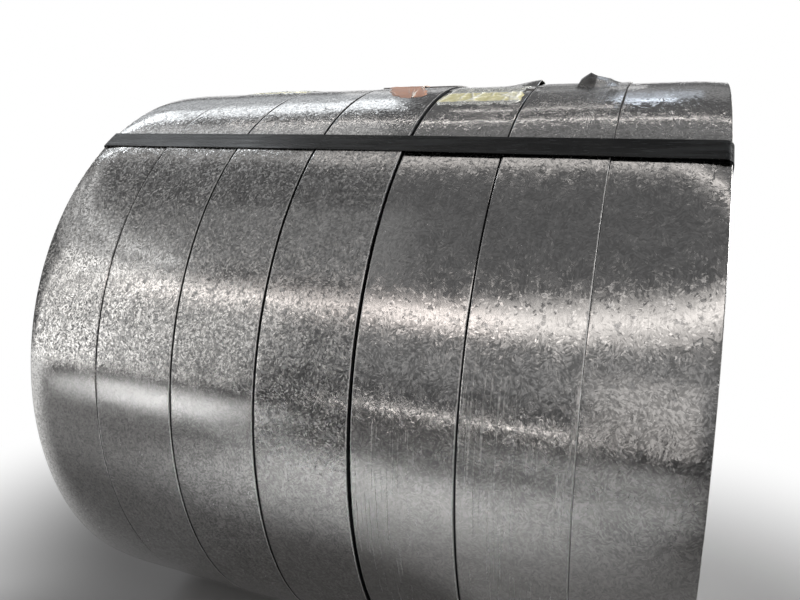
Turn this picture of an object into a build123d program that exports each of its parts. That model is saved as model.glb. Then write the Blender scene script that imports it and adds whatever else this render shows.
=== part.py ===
from build123d import *
import os
from math import asin, atan, cos, degrees, radians, sin, sqrt, tan

os.makedirs("parts", exist_ok=True)

# Slit steel coil: seven narrow coils side by side on one level axis, bound by straps through the bore.
# Everything is drawn with the coil axis along Z, angle 0 toward the front, 90 degrees at the top and
# +Z toward the left end. It is laid down along X at the end. Sizes are in millimetres.

# Strip and winding, coil by coil from the left
sheet = 1.5
slit_width = 125.0
bore_radius = 254.0
coil_radius = 458.0
radius_drop = [3.0, 1.9, 1.0, 0.0, 3.2, 2.2, 3.0]
slit_gap = [0.8, 1.2, 1.6, 5.6, 2.4, 0.5]
tail_angle = [96.0, 87.0, 98.0, 84.0, 77.5, 80.0, 94.0]

# Fall of the face toward the two ends of the pack
end_fall = 3.0
end_fall_width = 45.0

# Groups of turns that stand back from the end faces, from and to a share of the wound thickness
turn_from_share = [0.14, 0.62]
turn_to_share = [0.33, 0.83]
turn_depth = [0.8, 1.1]

# Straps through the bore
strap_width = 32.0
strap_sheet = 0.9
strap_angle = [53.85, 174.0, 294.0]
skew_angle = [1.55, 0.0, 0.0]
strap_bend_left = 4.0
strap_bend_right = 9.0
strap_gap = 0.15
rim_lift_left = 0.3
rim_lift_right = 2.4

# Crimped seals, half way down the right end face
seal_length = 58.0
seal_sheet = 0.9
seal_share = 0.5
notch_side = 6.0
notch_depth = 2.6
notch_spacing = 24.0

# Tapes on the strip tails, with their edges as shares of the coil's width from its left edge
tape_film = 0.3
tape_gap = 0.1
tape_coil = ["slit_coil_2", "slit_coil_4", "slit_coil_5"]
tape_first_angle = [80.5, 72.0, 68.0]
tape_last_angle = [90.0, 92.0, 78.6]
tape_left_share = [0.10, 0.30, 0.03]
tape_right_share = [0.92, 0.78, 0.92]

# Outer laps that have sprung off the winding, with their ends as shares of the coil's width
lap_coil = ["slit_coil_5", "slit_coil_6"]
lap_angle = [85.6, 83.0]
lap_bend = [120.0, 34.0]
lap_rise = [8.0, 13.0]
lap_open_share = [1.0, 0.48]
lap_closed_share = [0.50, 0.80]
lap_root = 0.6

count = len(radius_drop)
coils = [f"slit_coil_{i + 1}" for i in range(count)]
wound = coil_radius - bore_radius
pack_width = count * slit_width + sum(slit_gap)
left_end = pack_width / 2
right_end = -pack_width / 2
radius = [coil_radius - drop for drop in radius_drop]
left_edge = [left_end - i * slit_width - sum(slit_gap[:i]) for i in range(count)]
right_edge = [edge - slit_width for edge in left_edge]
left_fall = [end_fall] + [0.0] * (count - 1)
right_fall = [0.0] * (count - 1) + [end_fall]
level_left = [left_end - end_fall_width] + left_edge[1:]
level_right = right_edge[:-1] + [right_end + end_fall_width]
right_run = right_end - seal_sheet - 2 * strap_gap


def winding_section(i, face_radius):
    """Section through one slit coil, as radius and height, running past the bore."""
    core = bore_radius / 2
    points = [
        (core, right_edge[i]),
        (face_radius - right_fall[i], right_edge[i]),
        (face_radius, level_right[i]),
        (face_radius, level_left[i]),
        (face_radius - left_fall[i], left_edge[i]),
        (core, left_edge[i]),
    ]
    return make_face(Plane.XZ * Polyline(*dict.fromkeys(points), close=True))


def slit_coil(i):
    """Winding that loses one sheet per turn: two half turns about centres half a sheet apart."""
    first = revolve(winding_section(i, radius[i]), Axis.Z, 180)
    second = revolve(winding_section(i, radius[i] - sheet / 2), Axis.Z, 180)
    body = first + Pos(-sheet / 2, 0, 0) * Rot(0, 0, 180) * second
    body = Rot(0, 0, tail_angle[i]) * body
    return body - Pos(0, 0, right_edge[i]) * Cylinder(bore_radius, 3 * slit_width)


def step_turns(body, end):
    """Set groups of turns back from an end face."""
    for from_share, to_share, depth in zip(turn_from_share, turn_to_share, turn_depth):
        disc = Cylinder(bore_radius + to_share * wound, 2 * depth)
        disc -= Cylinder(bore_radius + from_share * wound, 4 * depth)
        body -= Pos(0, 0, end) * disc
    return body


def face_radius_at(i, angle):
    """Radius of a coil's face in one direction, between full radius and one sheet less."""
    past_tail = radians((angle - tail_angle[i]) % 360)
    if past_tail <= radians(180):
        return radius[i]
    shift = -sheet / 2 * cos(past_tail)
    across = sheet / 2 * sin(past_tail)
    return shift + sqrt((radius[i] - sheet / 2) ** 2 - across**2)


def loose_lap(i, angle, bend, rise, open_share, closed_share):
    """Sheet bent up off the winding, highest at its open end and gone at its closed end."""
    open_end = left_edge[i] - open_share * slit_width
    closed_end = left_edge[i] - closed_share * slit_width
    length = abs(closed_end - open_end)
    tilt = degrees(atan(rise / (closed_end - open_end)))
    face = face_radius_at(i, angle)
    lap = Cylinder(bend, 4 * length) - Cylinder(bend - sheet, 5 * length)
    lap = Pos(face + rise - bend, 0, open_end) * Rot(0, -tilt, 0) * lap
    lap &= Pos(face, 0, (open_end + closed_end) / 2) * Box(4 * rise, 4 * bend, length)
    lap -= Pos(0, 0, open_end) * Cylinder(face - lap_root, 4 * length)
    return Rot(0, 0, angle) * lap


def taut_line(angle):
    """Points, as radius and height, where a strap drawn over the coils bears on them."""
    points = [(face_radius_at(0, angle) + rim_lift_left, left_end)]
    for i in range(count):
        face = face_radius_at(i, angle)
        points += [(face, level_left[i]), (face, level_right[i])]
    points.append((face_radius_at(count - 1, angle) + rim_lift_right, right_end))
    line = []
    for r, z in points:
        while len(line) > 1:
            (r0, z0), (r1, z1) = line[-2:]
            if (r1 - r0) * (z0 - z) > (r - r0) * (z0 - z1):
                break
            line.pop()
        line.append((r, z))
    return line


def strap(angle, skew):
    """Closed flat strap over the face, down both ends and back through the bore."""
    left_run = left_end + strap_gap
    bore_run = bore_radius - strap_gap
    over = [(r + strap_gap, z) for r, z in taut_line(angle)]
    over[0] = (over[0][0], left_run)
    over[-1] = (over[-1][0], right_run)
    loop = make_face(Polyline(*over, (bore_run, right_run), (bore_run, left_run), close=True))
    for (r, z), bend in ((over[0], strap_bend_left), (over[-1], strap_bend_right)):
        loop = fillet(loop.vertices().sort_by_distance((r, z, 0))[0], bend)
    band = Plane.XZ * (offset(loop, strap_sheet) - loop)
    reach = strap_width + pack_width * tan(radians(skew))
    sector = 2 * degrees(asin(reach / bore_radius))
    shell = Rot(0, 0, -sector / 2) * revolve(band, Axis.Z, sector)
    slab = Box(3 * coil_radius, strap_width, 2 * pack_width)
    return shell & Rot(-skew, 0, 0) * slab


def seal_place(skew):
    """Middle of a seal, on its strap's run down the right end face."""
    height = right_run - strap_sheet / 2
    return Pos(bore_radius + seal_share * wound, height * tan(radians(skew)), height)


def notches():
    """Sheared notches that lock seal and strap together."""
    side = strap_width / 2 + notch_side / sqrt(2) - notch_depth
    places = GridLocations(notch_spacing, 2 * side, 2, 2)
    return Part() + places * (Rot(0, 0, 45) * Box(notch_side, notch_side, 8 * seal_sheet))


def seal():
    """Sheet sleeve folded round a strap."""
    around = strap_width + 2 * strap_gap
    through = strap_sheet + 2 * strap_gap
    sleeve = Box(seal_length, around + 2 * seal_sheet, through + 2 * seal_sheet)
    return sleeve - Box(2 * seal_length, around, through)


def tail_tape(i, first, last, left_share, right_share):
    """Film that follows a coil's face and steps over its tail."""
    outer = radius[i]
    turn = CenterArc((0, 0), outer, 0, 180)
    back = CenterArc((-sheet / 2, 0), outer - sheet / 2, 180, 180)
    face = make_face([turn, back, Line((outer - sheet, 0), (outer, 0))])
    film = offset(face, tape_gap + tape_film) - offset(face, tape_gap)
    far = 2 * coil_radius
    corners = [(far * cos(radians(a)), far * sin(radians(a))) for a in (first, last)]
    wedge = make_face(Polyline((0, 0), *corners, close=True))
    film = (Rot(0, 0, tail_angle[i]) * film) & wedge
    length = (right_share - left_share) * slit_width
    return Pos(0, 0, left_edge[i] - right_share * slit_width) * extrude(film, length)


parts = {coil: slit_coil(i) for i, coil in enumerate(coils)}
parts[coils[0]] = step_turns(parts[coils[0]], left_end)
parts[coils[-1]] = step_turns(parts[coils[-1]], right_end)
for coil, *lap in zip(lap_coil, lap_angle, lap_bend, lap_rise, lap_open_share, lap_closed_share):
    parts[coil] += loose_lap(coils.index(coil), *lap)
for j, (angle, skew) in enumerate(zip(strap_angle, skew_angle)):
    cuts = seal_place(skew) * notches()
    parts[f"strap_{j + 1}"] = Rot(0, 0, angle) * (strap(angle, skew) - cuts)
    parts[f"strap_seal_{j + 1}"] = Rot(0, 0, angle) * (seal_place(skew) * seal() - cuts)
for coil, *place in zip(tape_coil, tape_first_angle, tape_last_angle, tape_left_share, tape_right_share):
    parts[coil.replace("slit_coil", "tail_tape")] = tail_tape(coils.index(coil), *place)

lay_down = Location(Plane(origin=(0, 0, coil_radius), x_dir=(0, -1, 0), z_dir=(-1, 0, 0)))
for node, part in parts.items():
    export_step(lay_down * part, f"parts/{node}.step")
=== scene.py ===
import math
from functools import reduce
from types import SimpleNamespace

import bpy
import numpy as np
from mathutils import Matrix, Vector


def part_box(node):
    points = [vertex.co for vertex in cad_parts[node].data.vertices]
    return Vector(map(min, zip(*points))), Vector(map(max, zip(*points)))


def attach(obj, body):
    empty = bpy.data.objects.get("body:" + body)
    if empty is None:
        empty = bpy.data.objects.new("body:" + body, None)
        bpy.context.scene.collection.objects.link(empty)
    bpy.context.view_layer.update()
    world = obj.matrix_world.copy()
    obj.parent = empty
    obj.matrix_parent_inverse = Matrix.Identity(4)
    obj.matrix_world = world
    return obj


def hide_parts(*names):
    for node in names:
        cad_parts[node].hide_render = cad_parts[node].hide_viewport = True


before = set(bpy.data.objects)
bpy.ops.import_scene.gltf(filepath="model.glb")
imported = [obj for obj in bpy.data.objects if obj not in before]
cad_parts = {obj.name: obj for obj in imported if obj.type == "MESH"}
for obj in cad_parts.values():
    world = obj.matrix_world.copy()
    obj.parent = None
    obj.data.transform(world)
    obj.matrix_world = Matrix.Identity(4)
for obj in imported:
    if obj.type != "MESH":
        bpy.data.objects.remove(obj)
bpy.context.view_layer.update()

# Sizes of the pack in metres, as in the CAD model. Angles are in degrees, from the front over the top.
COIL_COUNT = 7
SHEET = 0.0015
BORE = 0.254
AXIS = 0.458
RADIUS = [AXIS - drop for drop in (0.0030, 0.0019, 0.0010, 0.0, 0.0032, 0.0022, 0.0030)]
TAIL = [96.0, 87.0, 98.0, 84.0, 77.5, 80.0, 94.0]
END_FALL = 0.0030
END_FALL_WIDTH = 0.045

# Coils whose last lap is a sheet of its own, with its length, and where the film over a tail starts
LAST_LAP = {1: 70.0, 3: 70.0, 4: 70.0, 5: 70.0}
FILM_FOOT = {5: 76.6}

# Reach of each coil along the axis. At the seams its edges are moved, for seams as wide as in the photo.
SEAM_INSET = [0.0010, 0.0012, 0.0012, -0.0014, 0.0002, 0.0]
INSETS = [0.0] + SEAM_INSET + [0.0]
BOXES = [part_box(f"slit_coil_{i + 1}") for i in range(COIL_COUNT)]
SPANS = [(box[0][0] + INSETS[i], box[1][0] - INSETS[i + 1]) for i, box in enumerate(BOXES)]

# Fine relief of the winding, with each wave as cycles round the coil, pitch along the axis and height
EDGE_ROUND = 0.0003
EDGE_ROUND_WIDTH = 0.0012
WAVES = ((3, 0.26, 0.00016), (7, 0.19, 0.00010), (12, 0.11, 0.00005), (19, 0.30, 0.00003))
WAVE_DROP = 0.0003
FULL_TURN = 6.28

# Turns on the end faces: how many are drawn in a seam, and over how many the waves of the face die out
SEAM_TURNS = 12
WAVE_TURNS = 6
TURN_GAP = 0.00012
TURN_SETBACK = 0.0007
TURN_WANDER = 0.0005
TURN_FINE_WANDER = 0.00022
PLAIN_DEPTH = 0.0018
END_STRIP_RADIUS = 0.4

# Seeds of the random draws
WAVE_SEED, LEFT_SEED, RIGHT_SEED, FINE_SEED = 100, 11, 31, 50

# Mesh steps: round a coil, whose first and last angle are kept apart, and from an edge of the face inward
STEPS_ROUND = 288
SEAM_SLACK = 1e-4
FACE_INSETS = np.array([0.0, 0.0003, 0.0008, 0.0016, 0.006, 0.014, 0.026, 0.040, 0.0625])
LAP_INSETS = np.array([0.0, 0.0004, 0.0010, 0.0018])

# Material slots of a coil; the cut edges in the seams carry painted shade
FACE, CUT_EDGE, SEAM_SHADE = 0, 1, 2

# Strip coordinate: metres round a coil from the front over the top, plus this step for each coil before it.
# The bore counts from a start of its own, and the cut edges of a last lap by this step for each degree.
COIL_STEP = 7.0
BORE_START = 3.0
EDGE_STEP = 0.01


# Mesh helpers

def smoothstep(low, high, value):
    t = np.clip((value - low) / (high - low), 0.0, 1.0)
    return t * t * (3.0 - 2.0 * t)


def soft_noise(seed, size, cells):
    """Smooth random curve with values near -1 to 1, sampled at size points over cells knots."""
    knots = np.random.default_rng(seed).uniform(-1.0, 1.0, cells + 4)
    place = np.linspace(0.0, cells, size)
    i = np.minimum(place.astype(int), cells)
    t = place - i
    a, b, c, d = knots[i], knots[i + 1], knots[i + 2], knots[np.minimum(i + 3, cells + 3)]
    return 0.5 * (2 * b + (c - a) * t + (2 * a - 5 * b + 4 * c - d) * t**2 + (3 * b - a - 3 * c + d) * t**3)


def around(radius, degrees, x):
    """Points on the pack from radius, angle and place along the axis."""
    a = np.radians(degrees)
    return np.stack([x + 0 * radius, -radius * np.cos(a), AXIS + radius * np.sin(a)], axis=-1)


def grid_faces(rows, columns, flip=False):
    i = np.arange(rows - 1)[:, None] * columns + np.arange(columns - 1)[None, :]
    quads = np.stack([i, i + 1, i + 1 + columns, i + columns], axis=-1).reshape(-1, 4)
    return quads[:, ::-1] if flip else quads


class Builder:
    """Gathers patches of points and quads into one mesh with a strip coordinate on every point."""

    def __init__(self):
        self.points, self.strip, self.quads, self.slots, self.count = [], [], [], [], 0

    def add(self, points, strip, quads, slot):
        points = points.reshape(-1, 3)
        self.points.append(points)
        self.strip.append(strip.reshape(-1, 3))
        self.quads.append(quads + self.count)
        self.slots.append(np.full(len(quads), slot))
        self.count += len(points)

    def build(self, name, materials, smooth_angle=35.0):
        mesh = bpy.data.meshes.new(name)
        mesh.from_pydata(np.concatenate(self.points), [], np.concatenate(self.quads))
        data = mesh.attributes.new("strip", "FLOAT_VECTOR", "POINT")
        data.data.foreach_set("vector", np.concatenate(self.strip).astype(np.float32).ravel())
        for material in materials:
            mesh.materials.append(material)
        mesh.polygons.foreach_set("material_index", np.concatenate(self.slots).astype(np.int32))
        mesh.validate()
        mesh.shade_smooth()
        mesh.set_sharp_from_angle(angle=math.radians(smooth_angle))
        piece = bpy.data.objects.new(name, mesh)
        bpy.context.scene.collection.objects.link(piece)
        return piece


# Material helpers

class Nodes:
    """Short hand for building a node tree."""

    def __init__(self, name):
        self.material = bpy.data.materials.new(name)
        self.material.use_nodes = True
        self.tree = self.material.node_tree
        self.shader = self.tree.nodes["Principled BSDF"]

    def set(self, socket, value):
        if isinstance(value, bpy.types.NodeSocket):
            self.tree.links.new(value, socket)
        else:
            socket.default_value = value

    def node(self, kind, inputs=None, **settings):
        node = self.tree.nodes.new(kind)
        for key, value in settings.items():
            setattr(node, key, value)
        for key, value in (inputs or {}).items():
            self.set(node.inputs[key], value)
        return node

    def math(self, operation, a, b=0.0):
        return self.node("ShaderNodeMath", {0: a, 1: b}, operation=operation).outputs[0]

    def total(self, *values):
        return reduce(lambda a, b: self.math("ADD", a, b), values)

    def product(self, *values):
        return reduce(lambda a, b: self.math("MULTIPLY", a, b), values)

    def vector(self, operation, a, b=None, scale=None):
        inputs = {0: a}
        if b is not None:
            inputs[1] = b
        if scale is not None:
            inputs["Scale"] = scale
        node = self.node("ShaderNodeVectorMath", inputs, operation=operation)
        return node.outputs["Value" if operation == "LENGTH" else "Vector"]

    def combine(self, x, y, z=0.0):
        return self.node("ShaderNodeCombineXYZ", {0: x, 1: y, 2: z}).outputs[0]

    def split(self, vector):
        return self.node("ShaderNodeSeparateXYZ", {0: vector}).outputs

    def range(self, value, low, high, to_low, to_high, smooth=False):
        """Value carried from one range to another and held at its ends."""
        kind = "SMOOTHSTEP" if smooth else "LINEAR"
        inputs = {"Value": value, "From Min": low, "From Max": high, "To Min": to_low, "To Max": to_high}
        return self.node("ShaderNodeMapRange", inputs, interpolation_type=kind).outputs["Result"]

    def choose(self, mask, off, on):
        return self.range(mask, 0.0, 1.0, off, on)

    def rise(self, value, low, high, smooth=False):
        return self.range(value, low, high, 0.0, 1.0, smooth)

    def fall(self, value, low, high, smooth=False):
        return self.range(value, low, high, 1.0, 0.0, smooth)

    def window(self, value, start, end):
        """Mask between two places, each given as the range over which it comes or goes."""
        return self.product(self.rise(value, *start), self.fall(value, *end))

    def noise(self, vector, scale, detail=2.0, roughness=0.5):
        inputs = {"Vector": vector, "Scale": scale, "Detail": detail, "Roughness": roughness}
        return self.node("ShaderNodeTexNoise", inputs, noise_dimensions="3D").outputs

    def cells(self, vector):
        inputs = {"Vector": vector, "Scale": 1.0, "Randomness": 1.0}
        return self.node("ShaderNodeTexVoronoi", inputs, voronoi_dimensions="2D", feature="F1").outputs

    def mix(self, factor, a, b):
        node = self.node("ShaderNodeMix", data_type="RGBA")
        for socket, value in ((node.inputs[0], factor), (node.inputs[6], a), (node.inputs[7], b)):
            self.set(socket, value)
        return node.outputs[2]

    def strip(self):
        return self.node("ShaderNodeAttribute", attribute_name="strip").outputs["Vector"]

    def finish(self, **inputs):
        for key, value in inputs.items():
            self.set(self.shader.inputs[key.replace("_", " ")], value)
        return self.material


# Galvanised strip

X_AXIS = (1.0, 0.0, 0.0)
MIDDLE = (0.5, 0.5, 0.5)

# Grains of the zinc in metres, and the needles in them: their shares of a grain are one over these numbers
GRAIN = 0.011
GRAIN_WARP = 0.0026
WARP_SCALE = 330.0
NEEDLES_RIGHT = (3.0, 7.5)
NEEDLES_LEFT = (3.3, 8.2)
NEEDLE_SHIFT = 57.0
LEAF_SCALE = 105.0
BLOT_SCALE = 2.6
LEVEL_LEAN, STEEP_LEAN, GRAIN_LEAN, LEAF_LEAN = 0.018, 0.18, 0.010, 0.036

# Strip coordinates between one coil and the next
PAST_COIL_1 = (3.0, 5.0)
PAST_COIL_2 = (10.0, 11.0)
PAST_COIL_3 = (17.0, 18.0)
PAST_COIL_4 = (24.0, 25.0)
FRONTS_1_TO_3 = (0.0, 14.0)
FRONTS_1_TO_4 = (0.0, 21.0)

# How lively the spangle is where the strip is smooth, on the right and on the left coils
SMOOTH_RIGHT = 0.35
SMOOTH_LEFT = 0.46

# Arcs above the front, each a range over which something comes or goes
SMOOTH_BELOW_RIGHT = (-0.08, 0.06)
SMOOTH_BELOW_LEFT = (0.055, 0.105)
BAND_START, BAND_END = (0.13, 0.17), (0.22, 0.26)
MOTTLE_FALL, MOTTLE_RISE = (0.165, 0.185), (0.205, 0.235)
FLECKS_BELOW = (0.155, 0.175)
LEAVES_BELOW = (0.18, 0.25)
ABOVE_STRAP = (0.43, 0.46)

# Film over the sixth coil's tail and the painted shade under its sprung end: arcs above the front, places
# along the axis
FILM_START, FILM_END = (0.48, 0.61), (0.80, 0.81)
FILM_LEFT, FILM_RIGHT = (0.202, 0.204), (0.2955, 0.2962)
FOLD_SHADE_START, FOLD_SHADE_END = (0.575, 0.62), (0.655, 0.70)
FOLD_SHADE_LEFT, FOLD_SHADE_RIGHT = (0.2498, 0.2506), (0.2736, 0.2746)

# Rub lines: their strength everywhere, and on two coils with the arc at which it ends
RUBBED = 0.09
RUB_START = (-0.4, -0.3)
RUBBED_LOW = ((5, (0.10, 0.17), 0.14), (6, (0.12, 0.18), 0.26))

ZINC_DARK = (0.41, 0.406, 0.397, 1)
ZINC_PALE = (0.76, 0.75, 0.735, 1)
FLECK_GREY = (0.24, 0.24, 0.24, 1)
LEAF_GREY = (0.20, 0.20, 0.20, 1)
FILM_GREY = (0.52, 0.52, 0.51, 1)
DULL_GREY = (0.52, 0.52, 0.52, 1)
# painted shade under the sixth coil's sprung end
FOLD_SHADE_GREY = (0.09, 0.09, 0.088, 1)
# painted highlight along the slit edges
EDGE_HIGHLIGHT_WHITE = (0.86, 0.86, 0.85, 1)

# Broad painted highlights along slit edges: coil, left and right side along the axis, arc at which they end
# and strength
BROAD_EDGE_HIGHLIGHTS = (
    (5, (0.1888, 0.1890), (0.1935, 0.1936), (0.14, 0.18), 0.5),
    (6, (0.3168, 0.3170), (0.3183, 0.3184), (0.42, 0.46), 0.7),
)

# Middles of the narrow painted highlights along slit edges, each with its strength
EDGE_HIGHLIGHT_INSET = 0.00085
EDGE_HIGHLIGHT_HALF_WIDTH = 0.0007
EDGE_HIGHLIGHTS = (
    (SPANS[1][1] - EDGE_HIGHLIGHT_INSET, 0.6),
    (SPANS[2][1] - EDGE_HIGHLIGHT_INSET, 0.6),
    (SPANS[3][1] - EDGE_HIGHLIGHT_INSET, 0.6),
    (SPANS[4][0] + EDGE_HIGHLIGHT_INSET, 0.5),
)


def on_coil(number, arcs):
    """Strip coordinates of places on a coil, from the coil's number and the arcs above the front."""
    return [COIL_STEP * (number - 1) + arc for arc in arcs]


def zinc_zones(n, along, across):
    """Parts of the winding that look different, as masks from 0 to 1."""
    zone = SimpleNamespace(along=along, across=across)
    half = COIL_STEP / 2
    zone.arc = n.math("SUBTRACT", n.math("FLOORED_MODULO", n.total(along, half), COIL_STEP), half)
    zone.four_left = n.fall(along, *PAST_COIL_4)
    zone.three_left = n.fall(along, *PAST_COIL_3)
    # the strip is smoother low down, on the three left coils from a little above the front
    low, high = (n.choose(zone.three_left, *pair) for pair in zip(SMOOTH_BELOW_RIGHT, SMOOTH_BELOW_LEFT))
    smooth = n.choose(zone.three_left, SMOOTH_RIGHT, SMOOTH_LEFT)
    zone.lively = n.range(zone.arc, low, high, smooth, 1.0, smooth=True)
    # bright band on the three left coils
    zone.band = n.product(zone.three_left, n.window(zone.arc, BAND_START, BAND_END))
    zone.above = n.rise(zone.arc, *ABOVE_STRAP)
    start = n.rise(along, *on_coil(6, FILM_START), smooth=True)
    end = n.fall(along, *on_coil(6, FILM_END))
    zone.film = n.product(start, end, n.window(across, FILM_LEFT, FILM_RIGHT))
    # mottling, strongest below the band on all coils but the first and faintest in the band
    front = n.range(along, *PAST_COIL_1, 1.0, n.range(along, *PAST_COIL_2, 1.5, 2.4))
    regained = n.range(zone.arc, *MOTTLE_RISE, 0.0, 0.4)
    zone.mottle = n.total(n.range(zone.arc, *MOTTLE_FALL, front, 0.6), regained)
    return zone


def zinc_pattern(n, zone, warped):
    """Grains, the needles that run their own way in each grain, leaf-shaped grains, dull grains and blots."""
    pattern = SimpleNamespace()
    scaled = n.vector("SCALE", warped, scale=1.0 / GRAIN)
    pattern.grain = n.cells(scaled)
    local = n.vector("SUBTRACT", scaled, pattern.grain["Position"])
    turn = n.product(n.split(pattern.grain["Color"])[0], math.tau)
    turned = n.node("ShaderNodeVectorRotate", {"Vector": local, "Angle": turn}, rotation_type="Z_AXIS")
    thinness = n.combine(*(n.choose(zone.four_left, *pair) for pair in zip(NEEDLES_RIGHT, NEEDLES_LEFT)))
    shift = n.vector("SCALE", pattern.grain["Color"], scale=NEEDLE_SHIFT)
    pattern.needle = n.cells(n.vector("ADD", n.vector("MULTIPLY", turned.outputs[0], thinness), shift))
    pattern.blot = n.noise(n.vector("ADD", scaled, shift), BLOT_SCALE, 2.0)["Fac"]
    speckle = n.noise(warped, LEAF_SCALE, 3.0, 0.6)
    pattern.leaf = n.rise(speckle["Fac"], 0.565, 0.58)
    pattern.leaf_lean = n.range(n.split(speckle["Color"])[1], 0.47, 0.53, -LEAF_LEAN, LEAF_LEAN)
    dull = n.rise(speckle["Fac"], 0.61, 0.66, smooth=True)
    pattern.dull = n.product(dull, n.rise(zone.lively, SMOOTH_LEFT, 1.0))
    return pattern


def mostly_small(n, colour):
    """Vector about zero from a random colour, small more often than large."""
    centred = n.vector("SUBTRACT", colour, MIDDLE)
    return n.vector("MULTIPLY", centred, n.vector("ABSOLUTE", centred))


def zinc_normal(n, zone, pattern):
    """Normal of the face, tipped by needles, grains and leaves."""
    # most needles lie nearly level, the rest are tipped well over, more of them on the four left coils
    steep = n.total(n.split(pattern.needle["Color"])[2], n.product(zone.four_left, 0.04))
    steep = n.range(steep, 0.69, 0.72, LEVEL_LEAN, STEEP_LEAN)
    needle_lean = n.vector("SCALE", mostly_small(n, pattern.needle["Color"]), scale=steep)
    grain_lean = n.vector("SCALE", mostly_small(n, pattern.grain["Color"]), scale=GRAIN_LEAN)
    lean = n.vector("ADD", needle_lean, grain_lean)
    liveliness = n.range(zone.lively, SMOOTH_RIGHT, 1.0, 0.3, 1.0)
    calm = n.product(n.choose(zone.film, 1.0, 0.15), liveliness, n.choose(zone.band, 1.0, 0.72))
    lean = n.vector("SCALE", lean, scale=calm)
    # leaves are tipped forward or back
    leaf_lean = n.product(pattern.leaf, pattern.leaf_lean, n.range(zone.lively, SMOOTH_LEFT, 1.0, 0.25, 1.0))
    lean_round, lean_across, _ = n.split(n.vector("ADD", lean, n.combine(leaf_lean, 0.0)))
    normal = n.node("ShaderNodeNewGeometry").outputs["Normal"]
    way_round = n.vector("CROSS_PRODUCT", normal, X_AXIS)
    tipped = n.vector("ADD", normal, n.vector("SCALE", way_round, scale=lean_round))
    tipped = n.vector("ADD", tipped, n.vector("SCALE", X_AXIS, scale=lean_across))
    return n.vector("NORMALIZE", tipped)


def rub_lines(n, zone, place):
    """Fine rub lines along the strip, strongest low on the fifth and sixth coils."""
    fine = n.combine(n.product(zone.along, 7.0), n.product(zone.across, 430.0))
    lines = n.rise(n.noise(fine, 1.0, 2.0)["Fac"], 0.57, 0.68)
    patches = n.rise(n.noise(place, 7.0, 1.0)["Fac"], 0.42, 0.56)
    strength = RUBBED
    for number, end, more in RUBBED_LOW:
        low = n.window(zone.along, on_coil(number, RUB_START), on_coil(number, end))
        strength = n.total(strength, n.product(low, more))
    return n.product(lines, patches, strength)


def slit_edge_highlights(n, zone):
    """Painted highlights along the slit edges of the second to sixth coils."""
    edge_highlight = 0.0
    for number, left, right, end, strength in BROAD_EDGE_HIGHLIGHTS:
        fading = n.range(zone.along, *on_coil(number, end), strength, 0.0)
        edge_highlight = n.math("MAXIMUM", edge_highlight, n.product(n.window(zone.across, left, right), fading))
    for middle, strength in EDGE_HIGHLIGHTS:
        distance = n.math("ABSOLUTE", n.math("SUBTRACT", zone.across, middle))
        line = n.math("LESS_THAN", distance, EDGE_HIGHLIGHT_HALF_WIDTH)
        edge_highlight = n.math("MAXIMUM", edge_highlight, n.product(line, strength))
    return edge_highlight


def sprung_end_shade(n, zone):
    """Painted shade under the sprung end of the sixth coil, which shows dark through the film."""
    start = n.range(zone.along, *on_coil(6, FOLD_SHADE_START), 0.0, 0.85, smooth=True)
    end = n.fall(zone.along, *on_coil(6, FOLD_SHADE_END), smooth=True)
    return n.product(n.window(zone.across, FOLD_SHADE_LEFT, FOLD_SHADE_RIGHT), start, end)


def zinc_colour(n, zone, pattern, edge_highlight):
    needle_shade = n.split(pattern.needle["Color"])[0]
    grain_shade = n.split(pattern.grain["Color"])[1]
    tone = n.total(n.product(needle_shade, 0.72), n.product(grain_shade, 0.28))
    spread = n.total(n.product(zone.four_left, n.range(zone.along, *FRONTS_1_TO_4, 0.25, 0.16)), 0.29)
    spread = n.product(spread, zone.lively, zone.mottle)
    tone = n.range(tone, 0.2, 0.8, n.math("SUBTRACT", 0.5, spread), n.total(0.5, spread))
    colour = n.mix(tone, ZINC_DARK, ZINC_PALE)
    # dark flecks, more of them below the band
    below = n.fall(zone.arc, *FLECKS_BELOW)
    share = n.choose(zone.four_left, n.choose(below, 0.10, 0.55), n.choose(below, 0.65, 1.0))
    fleck = n.product(n.rise(pattern.blot, 0.50, 0.62), zone.lively, share)
    colour = n.mix(fleck, colour, FLECK_GREY)
    # the leaves of the four left coils are dark below the band
    strength = n.range(zone.along, *FRONTS_1_TO_3, 0.4, 0.65)
    dark_leaf = n.product(pattern.leaf, zone.four_left, n.range(zone.arc, *LEAVES_BELOW, strength, 0.1))
    dark_leaf = n.product(dark_leaf, n.rise(zone.lively, SMOOTH_LEFT, 0.9))
    colour = n.mix(dark_leaf, colour, LEAF_GREY)
    colour = n.mix(n.product(zone.film, 0.5), colour, FILM_GREY)
    colour = n.mix(n.product(pattern.dull, 0.6), colour, DULL_GREY)
    # painted shade under the sixth coil's sprung end, dark through the film
    colour = n.mix(sprung_end_shade(n, zone), colour, FOLD_SHADE_GREY)
    # painted highlights along the slit edges
    return n.mix(n.product(edge_highlight, 0.8), colour, EDGE_HIGHLIGHT_WHITE)


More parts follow.
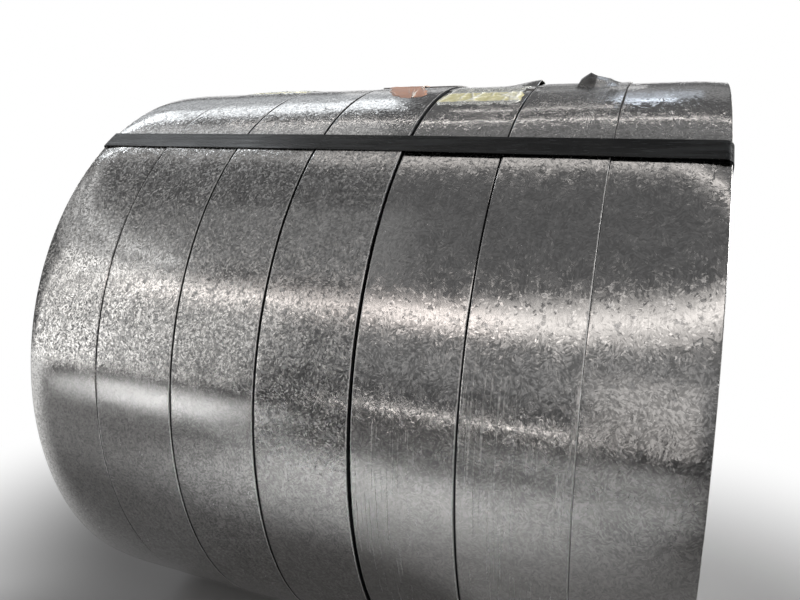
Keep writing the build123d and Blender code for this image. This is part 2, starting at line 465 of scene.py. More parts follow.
def zinc_roughness(n, zone, pattern, edge_highlight, rubbed):
    grain_shade = n.split(pattern.grain["Color"])[1]
    polish = n.choose(zone.above, 1.0, 0.72)
    plain = n.product(n.choose(grain_shade, 0.11, 0.18), polish)
    dull = n.product(pattern.dull, n.choose(zone.four_left, 0.10, 0.24))
    # some needles are matt, more of them and more so on the four left coils
    matt = n.total(n.split(pattern.needle["Color"])[1], n.product(zone.four_left, 0.17))
    dimmed = n.total(n.product(zone.four_left, n.range(zone.along, *FRONTS_1_TO_4, 0.32, 0.13)), 0.12)
    dimmed = n.product(dimmed, n.math("MINIMUM", zone.mottle, 1.0))
    dimmed = n.product(dimmed, n.choose(zone.above, 1.0, n.choose(zone.four_left, 1.0, 0.35)))
    dimmed = n.product(dimmed, n.range(zone.lively, SMOOTH_LEFT, 1.0, 0.1, 1.0))
    matt = n.range(matt, 0.87, 0.88, 0.0, dimmed)
    return n.total(plain, dull, rubbed, n.product(zone.film, 0.16), matt, n.product(edge_highlight, 0.40))


def galvanised():
    """Spangled zinc: every grain and every needle in it leans its own way, and some grains are dull."""
    n = Nodes("spangled_zinc")
    place = n.strip()
    wobble = n.vector("SUBTRACT", n.noise(place, WARP_SCALE, 3.0)["Color"], MIDDLE)
    warped = n.vector("ADD", place, n.vector("SCALE", wobble, scale=GRAIN_WARP))
    along, across, _ = n.split(warped)
    zone = zinc_zones(n, along, across)
    pattern = zinc_pattern(n, zone, warped)
    edge_highlight = slit_edge_highlights(n, zone)
    colour = zinc_colour(n, zone, pattern, edge_highlight)
    roughness = zinc_roughness(n, zone, pattern, edge_highlight, rub_lines(n, zone, place))
    normal = zinc_normal(n, zone, pattern)
    return n.finish(Base_Color=colour, Metallic=1.0, Roughness=roughness, Normal=normal)


# Other materials

def slit_edges(name, dark, pale):
    """Cut edges of the turns: bright on the pack's ends, dark with painted shade in the seams."""
    n = Nodes(name)
    place = n.strip()
    blotch = n.noise(place, 22.0, 4.0)["Fac"]
    fine = n.noise(n.vector("MULTIPLY", place, (60.0, 900.0, 1.0)), 1.0, 2.0)["Fac"]
    tone = n.total(n.product(blotch, 0.6), n.product(fine, 0.4))
    colour = n.mix(n.rise(tone, 0.3, 0.7), dark, pale)
    roughness = n.range(fine, 0.3, 0.7, 0.38, 0.55)
    return n.finish(Base_Color=colour, Metallic=1.0, Roughness=roughness)


PAINT_BLACK = (0.004, 0.0045, 0.0048, 1)
PAINT_RUBBED = (0.016, 0.018, 0.019, 1)
PAINT_SCRATCHED = (0.06, 0.065, 0.068, 1)


def strapping():
    """Black paint and wax on steel strap, with rub marks and fine scratches along it."""
    n = Nodes("black_strapping")
    place = n.node("ShaderNodeTexCoord").outputs["Object"]
    rub = n.noise(n.vector("MULTIPLY", place, (9.0, 160.0, 160.0)), 1.0, 4.0)["Fac"]
    cloud = n.noise(place, 14.0, 3.0)["Fac"]
    fine = n.noise(n.vector("MULTIPLY", place, (60.0, 900.0, 900.0)), 1.0, 2.0)["Fac"]
    colour = n.mix(n.rise(rub, 0.50, 0.75), PAINT_BLACK, PAINT_RUBBED)
    colour = n.mix(n.range(fine, 0.60, 0.74, 0.0, 0.6), colour, PAINT_SCRATCHED)
    roughness = n.total(n.range(cloud, 0.3, 0.7, 0.17, 0.26), n.range(rub, 0.4, 0.7, 0.0, 0.12))
    return n.finish(Base_Color=colour, Roughness=roughness, Specular_IOR_Level=0.34)


# painted highlight on the creases of the tapes
CREASE_HIGHLIGHT_WHITE = (0.80, 0.80, 0.74, 1)
RIM_FADE = 0.05
RIM_METAL = 0.70


def tape(name, middle, middle_2, rim, centre, rim_share, roughness):
    """Tape film: coloured along its middle, paler and clearer toward its long edges, with painted highlights
    on creases.
    """
    n = Nodes(name)
    _, v, rise = n.split(n.strip())
    place = n.node("ShaderNodeTexCoord").outputs["Object"]
    cloud = n.noise(place, 90.0, 4.0)["Fac"]
    colour = n.mix(n.rise(cloud, 0.35, 0.65), middle, middle_2)
    edge = n.math("ABSOLUTE", n.math("SUBTRACT", v, centre))
    edge = n.total(edge, n.product(n.math("SUBTRACT", cloud, 0.5), 0.10))
    colour = n.mix(n.rise(edge, rim_share, rim_share + RIM_FADE, smooth=True), colour, rim)
    # painted highlight on the creases, stronger where they stand higher
    colour = n.mix(n.range(rise, 0.25, 0.9, 0.0, 0.8), colour, CREASE_HIGHLIGHT_WHITE)
    rough = n.range(cloud, 0.3, 0.7, roughness - 0.08, roughness + 0.08)
    metallic = n.range(edge, rim_share, rim_share + RIM_FADE, 0.0, RIM_METAL)
    return n.finish(Base_Color=colour, Roughness=rough, Metallic=metallic)


# Slit coils

def spiral(i, degrees):
    """Radius of a coil's outermost turn, losing one sheet per turn from the tail."""
    past = (degrees - TAIL[i]) % 360.0
    past = np.where(past < LAST_LAP.get(i, 0.0), past + 360.0, past)
    return RADIUS[i] - SHEET * past / 360.0


def edge_shape(i, x):
    """How far the face falls at its edges: a long fall at the pack's ends and a small round everywhere."""
    low, high = SPANS[i]
    fall = np.zeros_like(x)
    if i == 0:
        fall += END_FALL * np.clip(1.0 - (x - low) / END_FALL_WIDTH, 0.0, 1.0) ** 2
    if i == COIL_COUNT - 1:
        fall += END_FALL * np.clip(1.0 - (high - x) / END_FALL_WIDTH, 0.0, 1.0) ** 2
    for edge in (x - low, high - x):
        fall += EDGE_ROUND * np.clip(1.0 - edge / EDGE_ROUND_WIDTH, 0.0, 1.0) ** 2
    return fall


def waves(i, degrees, x):
    """Slight waves of the wound strip."""
    total = np.zeros_like(degrees)
    pick = np.random.default_rng(WAVE_SEED + i)
    for cycles, pitch, height in WAVES:
        phase, slide = pick.uniform(0.0, FULL_TURN, 2)
        ripple = np.sin(np.radians(degrees) * cycles + phase)
        total += height * ripple * np.cos(x / pitch * FULL_TURN + slide)
    return total - WAVE_DROP


# Sprung laps: a rise, where it lies across the coil and where it lies round it
LAP_5_RISE, LAP_5_MIDDLE, LAP_5_REACH, LAP_5_SHARES = 0.0078, 85.6, 6.3, (0.50, 1.02)
LAP_6_RISE = 0.0150
LAP_6_SHARES = [0.445, 0.468, 0.50, 0.572, 0.645, 0.70, 0.78, 0.83, 0.90]
LAP_6_RIDGE = [0.0, 0.46, 0.63, 1.0, 0.70, 0.60, 0.43, 0.20, 0.0]
LAP_6_ANGLES = [77.2, 78.4, 80.0, 81.8, 83.8, 86.6, 89.0]
LAP_6_BUMP = [0.0, 0.22, 0.66, 1.0, 0.86, 0.30, 0.0]


def lift(i, degrees, x):
    """How far the last lap stands off the winding, on the fifth and sixth coils."""
    low, high = SPANS[i]
    share = (x - low) / (high - low)
    if i == 4:
        bump = np.cos(np.clip((degrees - LAP_5_MIDDLE) / LAP_5_REACH, -1.0, 1.0) * math.pi / 2) ** 2
        return LAP_5_RISE * bump * smoothstep(*LAP_5_SHARES, share) ** 1.3
    if i == 5:
        ridge = np.interp(share, LAP_6_SHARES, LAP_6_RIDGE)
        return LAP_6_RISE * ridge * np.interp(degrees, LAP_6_ANGLES, LAP_6_BUMP)
    return np.zeros_like(degrees)


# Mesh of a last lap: degrees of fine steps from its tail, then even points, as across it between its edges
LAP_FINE, LAP_FINE_STEP = 14.0, 0.3
LAP_POINTS = 46
LAP_EDGE = 0.004

# Share of the sheet where a lap lies on the winding, and the film that leads from its tail down to a foot
LAP_BEDDED = 0.98
FILM_RAISED = 0.0002
FILM_SHEET = 0.0001


def last_lap(i, out):
    """Outermost sheet from its cut end to where it lies flush with the winding."""
    low, high = SPANS[i]
    fine = np.arange(0.0, LAP_FINE, LAP_FINE_STEP)
    angles = TAIL[i] + np.concatenate([fine, np.linspace(LAP_FINE, LAST_LAP[i], LAP_POINTS)])
    over = np.ones_like(angles)
    if i in FILM_FOOT:
        angles = np.concatenate([np.arange(FILM_FOOT[i], TAIL[i] - 0.1, LAP_FINE_STEP), angles])
        over = smoothstep(FILM_FOOT[i], TAIL[i], angles)
    inner = np.linspace(low + LAP_EDGE, high - LAP_EDGE, LAP_POINTS)
    x = np.concatenate([low + LAP_INSETS, inner, high - LAP_INSETS[::-1]])
    a, xx = np.meshgrid(angles, x, indexing="ij")
    over = over[:, None]
    top = RADIUS[i] - SHEET * np.clip(a - TAIL[i], 0.0, None) / 360.0 - (SHEET - FILM_RAISED) * (1.0 - over)
    top = top - edge_shape(i, xx) + waves(i, a, xx) + lift(i, a, xx)
    thickness = SHEET * np.where(lift(i, a, xx) > 1e-5, 1.0, LAP_BEDDED)
    under = top - thickness * over - FILM_SHEET * (1.0 - over)
    strip = np.stack([np.radians(a) * RADIUS[i] + COIL_STEP * i, xx, np.zeros_like(a)], axis=-1)
    out.add(around(top, a, xx), strip, grid_faces(*a.shape, flip=True), FACE)
    out.add(around(under, a, xx), strip, grid_faces(*a.shape), FACE)
    for edge, flip in (((0, slice(None)), True), ((slice(None), 0), False), ((slice(None), -1), True)):
        pair = np.stack([top[edge], under[edge]])
        pair_a = np.stack([a[edge]] * 2)
        pair_x = np.stack([xx[edge]] * 2)
        strip = np.stack([pair_a * EDGE_STEP, pair, pair_x], axis=-1)
        out.add(around(pair, pair_a, pair_x), strip, grid_faces(2, pair.shape[1], flip=flip), CUT_EDGE)


def end_face(i, out, angles, face_x, rim, inward, full, seed):
    """One end of a coil: its turns as a spiral, the lip at its rim and the plain part down to the bore."""
    # cut edges in the seams take the material with painted shade
    look = CUT_EDGE if full else SEAM_SHADE
    shown = int((RADIUS[i] - BORE) / SHEET) - 1 if full else SEAM_TURNS
    steps = STEPS_ROUND
    count = shown * steps + 1
    past = np.arange(count)
    laps = past / steps
    a = angles[past % steps]
    wander = TURN_WANDER * soft_noise(seed, count, shown // 3 + 4)
    wander += TURN_FINE_WANDER * soft_noise(seed + FINE_SEED, count, shown * 2)
    wander *= np.clip(laps / 2.0, 0.0, 1.0)
    edge_x = face_x + inward * (TURN_SETBACK + wander) * np.clip(laps, 0.0, 1.0)
    face = np.full_like(a, face_x)
    outer = spiral(i, a) + (waves(i, a, face) - edge_shape(i, face)) * np.clip(1 - laps / WAVE_TURNS, 0, 1)
    outer = outer - past // steps * SHEET
    pair_r = np.stack([outer - TURN_GAP * (past >= steps), outer - SHEET + TURN_GAP], axis=-1)
    pair_a = np.stack([a, a], axis=-1)
    pair_x = np.stack([edge_x, edge_x], axis=-1)
    strip = np.stack([np.radians(pair_a) * END_STRIP_RADIUS, pair_r, pair_x], axis=-1)
    # edges of the turns, and the joints between one turn and the next
    j = np.arange(count - 1)
    quads = np.stack([2 * j, 2 * j + 2, 2 * j + 3, 2 * j + 1], axis=-1)
    k = np.arange(count - 1 - steps)
    joints = np.stack([2 * k + 1, 2 * k + 3, 2 * (k + steps) + 2, 2 * (k + steps)], axis=-1)
    quads = np.concatenate([quads, joints])
    out.add(around(pair_r, pair_a, pair_x), strip, quads[:, ::-1] if inward > 0 else quads, look)
    lip_r = np.stack([rim, pair_r[:steps + 1, 0]])
    lip_x = np.stack([np.full(steps + 1, face_x), edge_x[:steps + 1]])
    lip_a = np.stack([angles, angles])
    strip = np.stack([np.radians(lip_a) * END_STRIP_RADIUS, lip_r, lip_x], axis=-1)
    out.add(around(lip_r, lip_a, lip_x), strip, grid_faces(2, steps + 1, flip=inward < 0), look)
    # plain part, from under the last drawn turns to the bore
    last = spiral(i, angles) - (shown - 2) * SHEET
    plain_r = np.stack([last, np.full_like(last, BORE)], axis=-1)
    plain_a = np.stack([angles, angles], axis=-1)
    points = around(plain_r, plain_a, np.full_like(plain_r, face_x + inward * PLAIN_DEPTH))
    strip = np.stack([np.radians(plain_a) * END_STRIP_RADIUS, plain_r, np.zeros_like(plain_r)], axis=-1)
    out.add(points, strip, grid_faces(steps + 1, 2, flip=inward > 0), look)


def slit_coil(i, materials, full_left, full_right):
    """One wound coil: its face, tail, ends and bore, and its last lap where that is a sheet of its own."""
    low, high = SPANS[i]
    first = TAIL[i] + LAST_LAP.get(i, 0.0)
    angles = first + np.linspace(0.0, 360.0, STEPS_ROUND + 1)
    angles[-1] -= SEAM_SLACK
    angles[0] += SEAM_SLACK
    x = np.concatenate([low + FACE_INSETS, high - FACE_INSETS[-2::-1]])
    out = Builder()
    a, xx = np.meshgrid(angles, x, indexing="ij")
    radius = spiral(i, a) - edge_shape(i, xx) + waves(i, a, xx)
    strip = np.stack([np.radians(a - 360.0) * RADIUS[i] + COIL_STEP * i, xx, np.zeros_like(a)], axis=-1)
    out.add(around(radius, a, xx), strip, grid_faces(*a.shape, flip=True), FACE)
    # step at the tail
    tail_x = np.stack([x, x])
    tail_r = np.stack([radius[0], radius[-1]])
    strip = np.stack([np.zeros_like(tail_x), tail_x, tail_r], axis=-1)
    out.add(around(tail_r, np.full_like(tail_r, first), tail_x), strip, grid_faces(2, len(x)), CUT_EDGE)
    end_face(i, out, angles, x[0], radius[:, 0], 1.0, full_left, LEFT_SEED + i)
    end_face(i, out, angles, x[-1], radius[:, -1], -1.0, full_right, RIGHT_SEED + i)
    # bore
    bore_x = np.linspace(low + PLAIN_DEPTH, high - PLAIN_DEPTH, 3)
    a, xx = np.meshgrid(angles, bore_x, indexing="ij")
    strip = np.stack([np.radians(a) * BORE + BORE_START + COIL_STEP * i, xx, np.zeros_like(a)], axis=-1)
    out.add(around(np.full_like(a, BORE), a, xx), strip, grid_faces(*a.shape), FACE)
    if i in LAST_LAP:
        last_lap(i, out)
    return out.build(f"slit_coil_{i + 1}_turns", materials)


# Tapes

TAPE_ROWS, TAPE_COLUMNS = 64, 84
TAPE_GAP = 0.00012
TAPE_RAISED = 0.0003
TAPE_RIM_FALL = 0.0006
TAPE_FILM = 0.00025
CREASE_RISE = (0.0003, 0.0013)
CREASE_WIDTH, CREASE_LENGTH, CREASE_SQUEEZE = 0.011, 0.16, 0.35
PEEL_WIDTH = 0.018


def tape_relief(u, v, seed, creases, peel):
    """How far creases and one peeled fold stand up from a tape, over shares of its width and length."""
    pick = np.random.default_rng(seed)
    rise = np.zeros_like(u)
    for _ in range(creases):
        middle_u, middle_v, turn = pick.uniform(0.0, 1.0), pick.uniform(0.0, 1.0), pick.uniform(-1.2, 1.2)
        side, ahead = u - middle_u, (v - middle_v) * CREASE_SQUEEZE
        across = side * math.cos(turn) + ahead * math.sin(turn)
        along = -side * math.sin(turn) + ahead * math.cos(turn)
        height = pick.uniform(*CREASE_RISE)
        rise += height * np.exp(-np.abs(across) / CREASE_WIDTH) * np.exp(-(along / CREASE_LENGTH) ** 2)
    peel_u, peel_rise = peel
    rise += peel_rise * np.exp(-np.abs(u - peel_u - 0.05 * v) / PEEL_WIDTH) * smoothstep(-0.1, 0.5, v)
    return rise


def tail_tape(i, first, last, left, right, material, seed, creases, peel):
    """Thin film over a strip's cut end, with creases and a peeled fold.

    Its two sides are given as pairs of angle and share of the coil's width.
    """
    low, high = SPANS[i]
    angles = np.linspace(first, last, TAPE_ROWS)
    a, u = np.meshgrid(angles, np.linspace(0.0, 1.0, TAPE_COLUMNS), indexing="ij")
    share = np.interp(a, *zip(*left)) * (1.0 - u) + np.interp(a, *zip(*right)) * u
    uneven = 0.012 * np.sin(a * 1.9 + seed) + 0.020 * np.sin(a * 0.61 + 3.0 * seed)
    share = share + uneven * (2.0 * u - 1.0) ** 5
    x = low + share * (high - low)
    ragged = 0.16 * np.sin(share * 61.0 + seed) + 0.30 * np.sin(share * 23.0 + 2.0 * seed)
    a = a + ragged * np.linspace(-1.0, 1.0, TAPE_ROWS)[:, None] ** 3
    # the film lies on the winding before the tail and on the last lap after it
    winding = RADIUS[i] - SHEET
    lap = RADIUS[i] - SHEET * np.clip(a - TAIL[i], 0.0, None) / 360.0 + lift(i, np.maximum(a, TAIL[i]), x)
    step = smoothstep(TAIL[i] - 0.9, TAIL[i] + 0.05, a)
    base = winding * (1.0 - step) + lap * step + TAPE_GAP
    v = (a - first) / (last - first)
    rise = tape_relief(u, v, seed, creases, peel)
    rim = np.minimum(np.minimum(u, 1.0 - u) * (last - first) ** 0.5, np.minimum(v, 1.0 - v) * 4.0)
    top = base + rise + TAPE_RAISED - TAPE_RIM_FALL * (1.0 - smoothstep(0.0, 0.30, rim))
    strip = np.stack([u, v, rise * 1000.0], axis=-1)
    out = Builder()
    out.add(around(top, a, x), strip, grid_faces(*a.shape, flip=True), 0)
    out.add(around(top - TAPE_FILM, a, x), strip, grid_faces(*a.shape), 0)
    every = slice(None)
    for edge, flip in (((0, every), True), ((-1, every), False), ((every, 0), False), ((every, -1), True)):
        pair = np.stack([top[edge], top[edge] - TAPE_FILM])
        points = around(pair, np.stack([a[edge]] * 2), np.stack([x[edge]] * 2))
        out.add(points, np.stack([strip[edge]] * 2), grid_faces(2, pair.shape[1], flip=flip), 0)
    piece = out.build(f"tail_tape_{i + 1}_film", [material], 60.0)
    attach(piece, "root")
    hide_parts(f"tail_tape_{i + 1}")
    return piece


# Pieces

EDGE_DARK, EDGE_PALE = (0.24, 0.235, 0.225, 1), (0.47, 0.46, 0.45, 1)
# painted shade on the cut edges in the seams between the coils
SEAM_SHADE_DARK, SEAM_SHADE_PALE = (0.03, 0.03, 0.032, 1), (0.07, 0.07, 0.074, 1)
YELLOW, PALE_YELLOW, CLEAR = (0.56, 0.52, 0.27, 1), (0.74, 0.70, 0.46, 1), (0.66, 0.67, 0.64, 1)
TAN, PALE_TAN, TAN_RIM = (0.33, 0.165, 0.105, 1), (0.40, 0.215, 0.145, 1), (0.36, 0.19, 0.13, 1)

zinc = galvanised()
edges = slit_edges("slit_edges", EDGE_DARK, EDGE_PALE)
# cut edges in the seams: painted shade between the coils
seams = slit_edges("shaded_seam_edges", SEAM_SHADE_DARK, SEAM_SHADE_PALE)
for i in range(COIL_COUNT):
    coil = slit_coil(i, [zinc, edges, seams], i == 0, i == COIL_COUNT - 1)
    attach(coil, "root")
    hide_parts(f"slit_coil_{i + 1}")

black = strapping()
yellow = tape("yellow_tape", YELLOW, PALE_YELLOW, CLEAR, 0.38, 0.22, 0.24)
tan = tape("tan_tape", TAN, PALE_TAN, TAN_RIM, 0.5, 0.48, 0.42)

# Sides of the tan tape, as pairs of angle and share of the coil's width
TAN_LEFT = [(71.6, 0.50), (72.2, 0.46), (74.0, 0.39), (80.0, 0.20), (84.0, 0.10), (92.0, 0.08)]
TAN_RIGHT = [(71.6, 0.82), (72.4, 0.84), (80.0, 0.66), (84.0, 0.56), (92.0, 0.50)]
tapes = [
    tail_tape(1, 80.5, 90.0, [(80.5, 0.10)], [(80.5, 0.92)], yellow, 5, 26, (0.70, 0.0012)),
    tail_tape(3, 71.6, 91.5, TAN_LEFT, TAN_RIGHT, tan, 6, 6, (0.93, 0.0010)),
    tail_tape(4, 67.8, 79.6, [(67.8, 0.03)], [(67.8, 0.93)], yellow, 7, 30, (0.92, 0.0012)),
]
for name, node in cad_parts.items():
    if name.startswith("strap_"):
        for slot in node.material_slots:
            slot.link = "OBJECT"
            slot.material = black


# Floor

FLOOR_LEFT, FLOOR_RIGHT, FLOOR_FRONT = -12.0, 9.0, -9.0
SWEEP_START, SWEEP_RADIUS = 4.0, 1.6
BACKDROP_TOP_LEFT, BACKDROP_TOP_RIGHT = 2.94, 1.75
FLOOR_GREY = (0.31, 0.31, 0.31, 1)
HALF_PACK = 0.45


def stage_floor():
    """Pale floor that sweeps up into a white backdrop behind the coil."""
    sweep = np.linspace(0.0, math.pi / 2, 24)[1:]
    profile = [(FLOOR_FRONT, 0.0), (SWEEP_START, 0.0)]
    profile += [(SWEEP_START + SWEEP_RADIUS * math.sin(t), SWEEP_RADIUS * (1.0 - math.cos(t))) for t in sweep]
    points = [(x, y, z) for y, z in profile for x in (FLOOR_LEFT, FLOOR_RIGHT)]
    back = SWEEP_START + SWEEP_RADIUS
    points += [(FLOOR_LEFT, back, BACKDROP_TOP_LEFT), (FLOOR_RIGHT, back, BACKDROP_TOP_RIGHT)]
    faces = [(2 * k, 2 * k + 1, 2 * k + 3, 2 * k + 2) for k in range(len(profile))]
    mesh = bpy.data.meshes.new("floor")
    mesh.from_pydata(points, [], faces)
    mesh.shade_smooth()
    n = Nodes("floor")
    n.finish(Base_Color=FLOOR_GREY, Roughness=0.9)
    # away from the coil, beside it and behind it, the floor and backdrop read as white
    x, y, z = n.split(n.node("ShaderNodeNewGeometry").outputs["Position"])
    beside = n.math("MAXIMUM", n.math("SUBTRACT", n.math("ABSOLUTE", x), HALF_PACK), 0.0)
    away = n.vector("LENGTH", n.combine(beside, y, z))
    behind = n.total(y, n.product(beside, 0.8))
    far = n.product(n.rise(away, 0.20, 0.85, smooth=True), n.rise(behind, -0.35, -0.05, smooth=True))
    path = n.node("ShaderNodeLightPath").outputs
    mirrored = n.math("MAXIMUM", path["Is Glossy Ray"], path["Is Transmission Ray"])
    seen = n.math("MAXIMUM", path["Is Camera Ray"], mirrored)
    white = n.node("ShaderNodeEmission", {"Color": (1.0, 1.0, 1.0, 1), "Strength": 1.0}).outputs[0]
    mixed = n.node("ShaderNodeMixShader", {0: n.product(far, seen), 1: n.shader.outputs[0], 2: white})
    n.tree.links.new(mixed.outputs[0], n.tree.nodes["Material Output"].inputs["Surface"])
    mesh.materials.append(n.material)
    floor = bpy.data.objects.new("floor", mesh)
    bpy.context.scene.collection.objects.link(floor)


stage_floor()

# Lamps

WHITE = (1.0, 1.0, 1.0)
WARM = (1.0, 0.953, 0.922)
ROSY = (1.0, 0.915, 0.875)
CREAM = (1.0, 0.98, 0.96)
COOL = (0.92, 0.96, 1.0)
BLUE = (0.74, 0.85, 1.0)
PALE_BLUE = (0.78, 0.87, 1.0)
FACE_RADIUS = 0.456

# Elevations that the coil's face mirrors toward the camera, and the angles at which it does
MIRRORED_ELEVATION = [-78, -30, -4, 36, 74, 99, 122, 144, 164]
MIRROR_ANGLE = [-20, 0, 10, 25, 40, 50, 60, 70, 80]

# Long lamps: name, two ends as x, elevation and distance from the face, thickness, radiance and colour
STRIP_LAMPS = [
    ("front_core_right", (1.6, 48.0, 2.2), (-0.4, 31.8, 2.9), 0.26, 0.95, WARM),
    ("front_core_middle", (-0.4, 31.8, 2.9), (-1.3, 32.2, 3.2), 0.26, 1.80, ROSY),
    ("front_core_left", (-1.3, 32.2, 3.2), (-6.5, 33.0, 6.5), 0.24, 0.98, ROSY),
    ("front_plateau_right", (1.6, 46.0, 2.2), (-0.4, 32.0, 2.9), 0.78, 0.68, WARM),
    ("front_plateau_left", (-0.4, 32.0, 2.9), (-5.0, 32.5, 5.0), 0.74, 0.52, ROSY),
    ("left_haze", (-1.1, 58.0, 3.2), (-4.0, 58.0, 4.0), 1.9, 0.13, WHITE),
    ("front_shade", (1.5, 17.0, 2.6), (-4.0, 17.0, 3.4), 1.05, 0.13, WHITE),
    ("low_line", (0.1, -4.4, 3.0), (-1.7, -4.0, 3.4), 0.05, 4.2, WARM),
    ("under_strap", (0.35, 98.0, 3.0), (-1.8, 99.2, 3.0), 0.32, 0.85, WARM),
    ("under_strap_left", (-1.8, 99.2, 3.0), (-5.0, 101.0, 3.0), 0.26, 0.32, WARM),
    ("right_swoosh", (0.4, 98.0, 3.0), (1.7, 80.0, 3.0), 0.20, 1.3, WARM),
    ("over_top_left", (-1.3, 117.0, 3.0), (-5.0, 117.0, 3.6), 0.65, 0.48, WHITE),
    ("over_top_right", (1.4, 117.0, 3.0), (-1.3, 117.0, 3.0), 0.65, 0.10, WHITE),
    ("tube_1", (1.2, 124.5, 3.0), (-2.4, 122.5, 3.0), 0.035, 4.4, WARM),
    ("tube_2", (0.10, 133.5, 3.0), (-0.85, 132.5, 3.0), 0.035, 3.8, WARM),
    ("back_window", (-1.2, 140.0, 3.0), (-3.4, 133.5, 3.6), 0.60, 1.65, COOL),
    ("back_window_left", (-3.4, 133.5, 3.6), (-5.6, 128.0, 4.3), 0.66, 3.0, COOL),
    ("back_glow", (-1.2, 150.0, 3.2), (-6.0, 148.0, 4.6), 1.00, 0.45, COOL),
    ("cool_back", (0.55, 145.0, 3.0), (0.06, 145.0, 3.0), 0.46, 0.34, BLUE),
    ("cool_wide", (0.85, 149.0, 3.0), (0.06, 149.0, 3.0), 0.90, 0.14, WHITE),
    ("right_low", (1.00, 6.0, 2.4), (0.12, 6.0, 2.6), 1.10, 0.38, WARM),
    ("cool_line", (0.36, 139.5, 3.0), (0.06, 139.5, 3.0), 0.18, 2.0, PALE_BLUE),
    ("strap_left", (-2.0, 108.0, 3.0), (-6.0, 108.5, 4.2), 0.16, 6.0, COOL),
    ("back_low", (0.20, 158.5, 3.0), (-1.7, 158.5, 3.2), 0.36, 0.60, WHITE),
]

# Window on the left, as upright strips side by side
WINDOW_RADIANCE = (1.3, 1.3, 1.45, 2.4, 2.8, 2.7, 2.7)
WINDOW_FIRST, WINDOW_STEP, WINDOW_REACH, WINDOW_HEIGHT = 33.0, 4.6, 4.2, 1.55

# Strips above the left end
UPPER_LEANS = (51.0, 56.0, 61.0)
UPPER_REACH, UPPER_RADIANCE, UPPER_STEP = 3.8, 1.15, 0.25

# Lamps that light pools on the floor: name, x and y, way of the width, width, depth, radiance and spread
POOL_HEIGHT = 2.6
DOWN = (0.0, 0.0, -1.0)
SLANT = (0.85, 0.526, 0.0)
FLOOR_POOLS = [
    ("floor_pool", (-0.16, -1.10), X_AXIS, 0.80, 0.45, 3.0, 17.0),
    ("floor_pool_left", (-2.05, -2.54), SLANT, 1.6, 0.55, 14.0, 18.0),
    ("floor_pool_near", (-1.15, -1.76), SLANT, 1.8, 0.18, 5.6, 7.0),
    ("floor_pool_front", (0.30, -2.3), X_AXIS, 1.0, 0.9, 1.3, 25.0),
    ("floor_pool_right", (0.42, -1.45), X_AXIS, 0.4, 0.20, 4.4, 12.0),
]


def softbox(name, place, toward, side, width, height, radiance, colour=WHITE, spread=180.0):
    """Area light of a given brightness: its face looks along toward and its width runs along side."""
    light = bpy.data.lights.new(name, "AREA")
    light.shape = "RECTANGLE"
    light.size = width
    light.size_y = height
    light.energy = radiance * width * height * math.pi
    light.color = colour
    light.spread = math.radians(spread)
    lamp = bpy.data.objects.new(name, light)
    bpy.context.scene.collection.objects.link(lamp)
    toward = Vector(toward).normalized()
    side = Vector(side)
    side = (side - toward * side.dot(toward)).normalized()
    up = (-toward).cross(side)
    lamp.matrix_world = Matrix.Translation(place) @ Matrix((side, up, -toward)).transposed().to_4x4()


def mirrored_point(x, elevation, distance):
    """Place that the coil's face mirrors, at an elevation counted from the front over the top."""
    e = math.radians(elevation)
    a = math.radians(np.interp(elevation, MIRRORED_ELEVATION, MIRROR_ANGLE))
    front = FACE_RADIUS * math.cos(a) + distance * math.cos(e)
    up = FACE_RADIUS * math.sin(a) + distance * math.sin(e)
    return Vector((x, -front, AXIS + up))


def strip_light(name, start, end, thickness, radiance, colour):
    """Long softbox between two places, each given as x, elevation and distance."""
    p, q = mirrored_point(*start), mirrored_point(*end)
    middle = (p + q) / 2.0
    aim = Vector((middle.x * 0.3, 0.0, AXIS)) - middle
    side = q - p
    toward = aim - side * (aim.dot(side) / side.dot(side))
    softbox(name, middle, toward, side, side.length, thickness, radiance, colour)


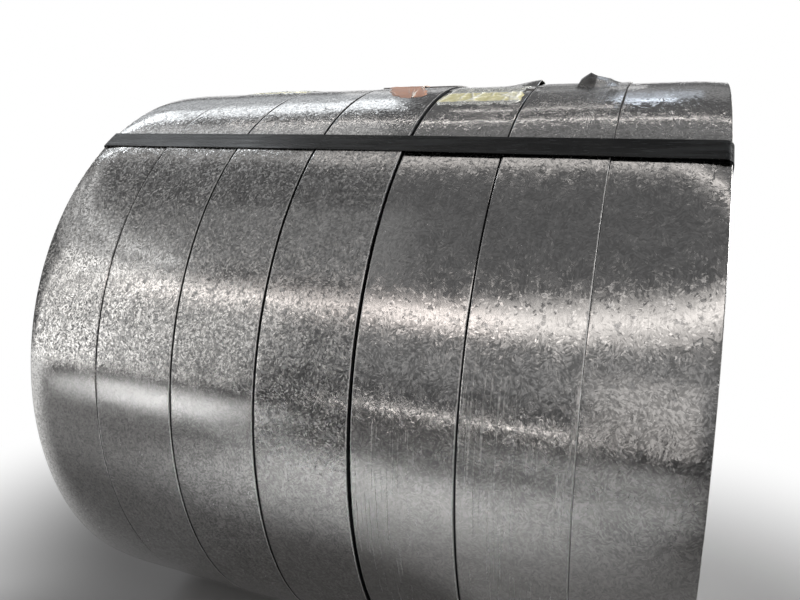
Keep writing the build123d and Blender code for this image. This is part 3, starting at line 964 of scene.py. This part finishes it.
for lamp in STRIP_LAMPS:
    strip_light(*lamp)
for k, radiance in enumerate(WINDOW_RADIANCE):
    t = math.radians(WINDOW_FIRST + WINDOW_STEP * k)
    place = (-0.25 - WINDOW_REACH * math.sin(t), -0.45 - WINDOW_REACH * math.cos(t), WINDOW_HEIGHT)
    toward = (math.sin(t), math.cos(t), -0.1)
    softbox(f"left_window_{k + 1}", place, toward, (0.7, -0.7, 0.0), 0.14, 2.7, radiance, CREAM)
for k, lean in enumerate(UPPER_LEANS):
    t = math.radians(lean)
    place = (-0.35 - UPPER_REACH * math.sin(t), -1.4, 0.8 + UPPER_REACH * math.cos(t))
    toward = (math.sin(t), 0.35, -math.cos(t))
    softbox(f"left_upper_{k + 1}", place, toward, (0.0, 1.0, 0.0), 3.0, 0.20, UPPER_RADIANCE - UPPER_STEP * k)
softbox("left_low", (-3.55, -3.1, 0.80), (0.78, 0.62, 0.05), (0.62, -0.78, 0.0), 1.7, 0.95, 0.34)
for name, (x, y), way, width, depth, radiance, spread in FLOOR_POOLS:
    softbox(name, (x, y, POOL_HEIGHT), DOWN, way, width, depth, radiance, spread=spread)
softbox("right_side", (2.6, -2.3, 1.0), (-1.0, 0.85, 0.0), (0.0, 0.0, 1.0), 2.2, 0.35, 0.9, spread=60.0)
softbox("key", (4.4, 1.6, 3.5), (-4.4, -0.5, -2.5), (0.0, 1.0, 0.0), 1.7, 1.7, 7.5, spread=40.0)

world = bpy.data.worlds.new("studio")
bpy.context.scene.world = world
world.use_nodes = True
background = world.node_tree.nodes["Background"]
background.inputs["Color"].default_value = (0.15, 0.15, 0.153, 1)
background.inputs["Strength"].default_value = 1.0

# Camera, fitted to the seams in the photo. Its place is in slit pitches from the pack's left end and axis.
SLIT_PITCH = 0.12673
CAMERA_ALONG, CAMERA_FRONT, CAMERA_UP = 6.5599, 8.6999, 2.9111
CAMERA_DOWN, CAMERA_TURN = 13.117, 21.856
FOCAL_PIXELS, PHOTO_WIDTH, SENSOR_WIDTH = 675.78, 800.0, 36.0

camera = bpy.data.cameras.new("camera")
camera.sensor_width = SENSOR_WIDTH
camera.lens = FOCAL_PIXELS / PHOTO_WIDTH * SENSOR_WIDTH
camera.clip_end = 100.0
view = bpy.data.objects.new("camera", camera)
bpy.context.scene.collection.objects.link(view)
camera_x = (CAMERA_ALONG - COIL_COUNT / 2) * SLIT_PITCH
view.location = (camera_x, -CAMERA_FRONT * SLIT_PITCH, AXIS + CAMERA_UP * SLIT_PITCH)
view.rotation_euler = (math.radians(90.0 - CAMERA_DOWN), 0.0, math.radians(CAMERA_TURN))
bpy.context.scene.camera = view
bpy.context.scene.view_settings.view_transform = "Standard"
